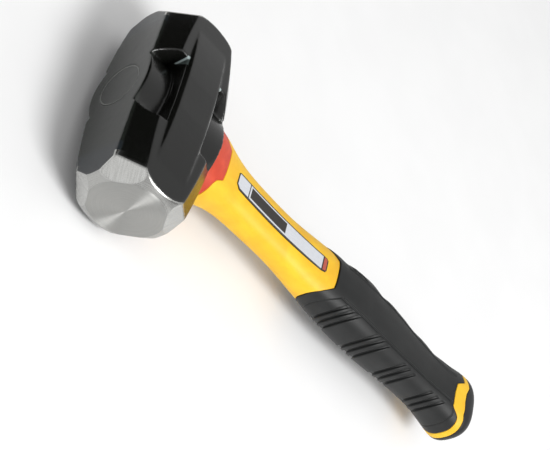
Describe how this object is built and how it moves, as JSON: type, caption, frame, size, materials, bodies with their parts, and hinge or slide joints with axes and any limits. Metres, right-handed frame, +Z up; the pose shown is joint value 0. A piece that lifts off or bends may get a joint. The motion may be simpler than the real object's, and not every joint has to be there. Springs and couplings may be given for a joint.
{
  "type": "club hammer",
  "caption": "Short-handled club hammer: octagonal forged steel head with eye boss and raised cheeks, moulded handle with guard collar, grooved rubber grip and domed butt.",
  "frame": {"origin": "centre of the flat land on the cheek the hammer lies on, directly below the centre of the head", "axes": "+X along the handle from the head to the butt; Y through the two striking faces, the near one at -Y; +Z up, out of the upper cheek"},
  "size_m": [0.2694, 0.1044, 0.0485],
  "materials": {
    "head_paint": "satin black-olive paint over forged steel, both ends ground bare",
    "head_paint_plug": "potting compound painted with the head",
    "resin": "cast resin, hidden",
    "fibreglass": "pultruded fibreglass rod, hidden",
    "yellow_plastic": "moulded, soft sheen",
    "orange_rubber": "moulded, matt",
    "badge": "printed plate in silver, black and red",
    "black_rubber": "moulded, matt, fine grain"
  },
  "bodies": {
    "root": {"head": "head_paint", "eye_plug": "head_paint_plug", "eye_resin": "resin", "handle_core": "fibreglass", "handle_jacket": "yellow_plastic", "strike_guard": "orange_rubber", "label_near": "badge", "label_far": "badge", "grip_sleeve": "black_rubber", "grip_end_band": "yellow_plastic", "butt_cap": "black_rubber"}
  },
  "joints": []
}
